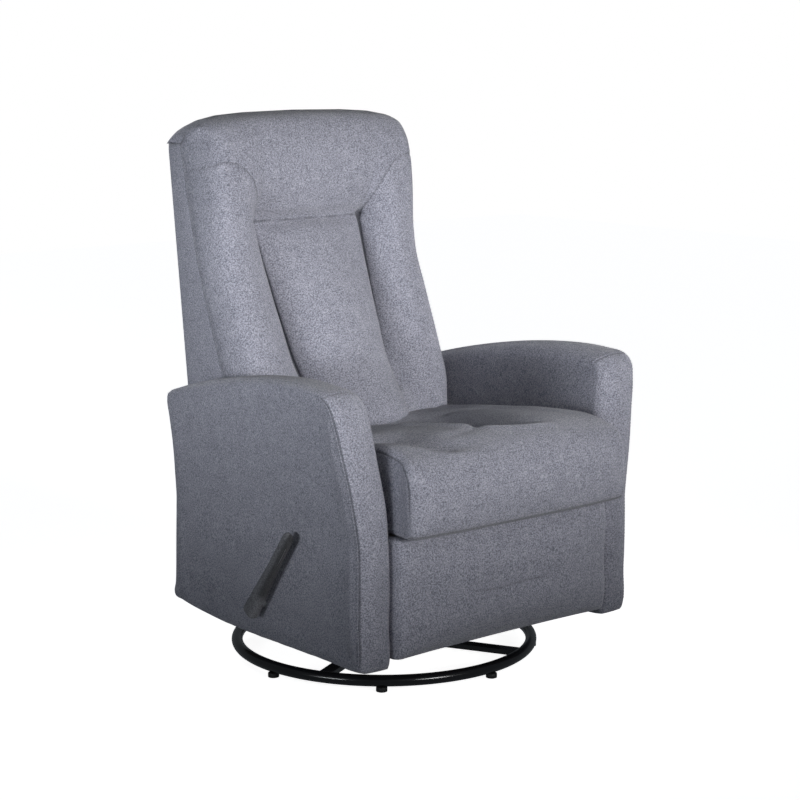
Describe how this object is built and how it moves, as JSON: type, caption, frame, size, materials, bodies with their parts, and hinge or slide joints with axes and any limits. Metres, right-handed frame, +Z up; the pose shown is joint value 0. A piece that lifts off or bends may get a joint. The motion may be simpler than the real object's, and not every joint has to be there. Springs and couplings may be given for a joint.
{
  "type": "swivel glider recliner",
  "caption": "Upholstered recliner on a round swivel base that glides on hanging links, with a reclining back and a footrest opened by a padded side lever.",
  "frame": {"origin": "on the floor, under the middle of the chair's box", "axes": "+Z up, the chair faces -Y, its user's left is +X"},
  "size_m": [0.7578, 0.7636, 1.0512],
  "materials": {
    "upholstery": "grey-blue melange weave, matt",
    "lever_fabric": "charcoal weave, matt",
    "black_frame": "glossy black",
    "mechanism_steel": "zinc plated, satin",
    "timber": "raw board, sanded",
    "foot_plastic": "black, matt"
  },
  "bodies": {
    "base": {"base_ring": "black_frame", "base_cross": "black_frame", "base_foot_1": "foot_plastic", "base_foot_2": "foot_plastic", "base_foot_3": "foot_plastic", "base_foot_4": "foot_plastic", "base_foot_5": "foot_plastic", "base_foot_6": "foot_plastic", "base_foot_7": "foot_plastic", "base_foot_8": "foot_plastic", "bearing_lower_plate": "mechanism_steel"},
    "turntable": {"bearing_upper_plate": "mechanism_steel", "glider_cross_bar_front": "black_frame", "glider_cross_bar_rear": "black_frame", "glider_plate_left": "black_frame", "glider_plate_right": "black_frame"},
    "front_links": {"swing_link_front_left": "mechanism_steel", "swing_link_front_right": "mechanism_steel"},
    "rear_links": {"swing_link_rear_left": "mechanism_steel", "swing_link_rear_right": "mechanism_steel"},
    "chair": {"chassis_plate_left": "mechanism_steel", "chassis_plate_right": "mechanism_steel", "cross_tube_front": "mechanism_steel", "cross_tube_rear": "mechanism_steel", "side_plate_left": "mechanism_steel", "side_plate_right": "mechanism_steel", "seat_board": "timber", "seat_cushion": "upholstery", "arm_pad_left": "upholstery", "arm_pad_right": "upholstery", "arm_board_left": "timber", "arm_board_right": "timber", "rear_valance": "upholstery"},
    "back": {"back_upright_left": "timber", "back_upright_right": "timber", "back_rail_top": "timber", "back_rail_bottom": "timber", "back_rear_panel": "upholstery", "back_side_panel_left": "upholstery", "back_side_panel_right": "upholstery", "back_cushion": "upholstery", "back_hinge_left": "mechanism_steel", "back_hinge_right": "mechanism_steel"},
    "drive": {"torque_tube": "mechanism_steel", "drive_link_left": "mechanism_steel", "drive_link_right": "mechanism_steel"},
    "rear_link": {"rear_link_left": "mechanism_steel", "rear_link_right": "mechanism_steel"},
    "long_link": {"long_link_left": "mechanism_steel", "long_link_right": "mechanism_steel"},
    "short_link": {"short_link_left": "mechanism_steel", "short_link_right": "mechanism_steel"},
    "footrest": {"footrest_bracket_left": "mechanism_steel", "footrest_bracket_right": "mechanism_steel", "footrest_board": "timber", "footrest_pad": "upholstery"},
    "lever": {"lever_shaft": "mechanism_steel", "lever_sleeve": "lever_fabric"},
    "drive_rod": {"drive_rod": "mechanism_steel"}
  },
  "joints": [
    {"name": "swivel", "type": "hinge", "parent": "base", "child": "turntable", "pos_m": [0, 0.02634, 0], "axis": [0, 0, 1], "continuous": true},
    {"name": "glide", "type": "hinge", "parent": "turntable", "child": "front_links", "pos_m": [0, -0.08366, 0.22], "axis": [1, 0, 0], "range_deg": [-18, 18]},
    {"name": "glide_rear", "type": "hinge", "parent": "turntable", "child": "rear_links", "pos_m": [0, 0.13634, 0.22], "axis": [1, 0, 0], "range_deg": [-18, 18]},
    {"name": "glide_level", "type": "hinge", "parent": "front_links", "child": "chair", "pos_m": [0, -0.08366, 0.105], "axis": [1, 0, 0], "range_deg": [-18, 18]},
    {"name": "recline", "type": "hinge", "parent": "chair", "child": "back", "pos_m": [0, 0.23134, 0.335], "axis": [-1, 0, 0], "range_deg": [0, 35]},
    {"name": "footrest_drive", "type": "hinge", "parent": "chair", "child": "drive", "pos_m": [0, -0.19566, 0.295], "axis": [-1, 0, 0], "range_deg": [0, 90]},
    {"name": "footrest_rear_pivot", "type": "hinge", "parent": "chair", "child": "rear_link", "pos_m": [0, -0.15626, 0.28805], "axis": [-1, 0, 0], "range_deg": [0, 90]},
    {"name": "footrest_long_pivot", "type": "hinge", "parent": "drive", "child": "long_link", "pos_m": [0, -0.09528, 0.15165], "axis": [-1, 0, 0], "range_deg": [-90, 0]},
    {"name": "footrest_short_pivot", "type": "hinge", "parent": "drive", "child": "short_link", "pos_m": [0, -0.10896, 0.11406], "axis": [-1, 0, 0], "range_deg": [-90, 0]},
    {"name": "footrest_turn", "type": "hinge", "parent": "long_link", "child": "footrest", "pos_m": [0, -0.22366, 0.282], "axis": [-1, 0, 0], "range_deg": [0, 90]},
    {"name": "lever_turn", "type": "hinge", "parent": "chair", "child": "lever", "pos_m": [0, -0.02766, 0.16], "axis": [-1, 0, 0], "range_deg": [0, 90]},
    {"name": "drive_rod_pivot", "type": "hinge", "parent": "lever", "child": "drive_rod", "pos_m": [0, -0.02392, 0.12621], "axis": [-1, 0, 0], "range_deg": [-90, 0]}
  ],
  "couplings": [
    {"joint": "glide_rear", "follows": "glide", "ratio": 1},
    {"joint": "glide_level", "follows": "glide", "ratio": -1},
    {"joint": "footrest_rear_pivot", "follows": "footrest_drive", "ratio": 1},
    {"joint": "footrest_long_pivot", "follows": "footrest_drive", "ratio": -1},
    {"joint": "footrest_short_pivot", "follows": "footrest_drive", "ratio": -1},
    {"joint": "footrest_turn", "follows": "footrest_drive", "ratio": 1},
    {"joint": "lever_turn", "follows": "footrest_drive", "ratio": 1},
    {"joint": "drive_rod_pivot", "follows": "footrest_drive", "ratio": -1}
  ]
}
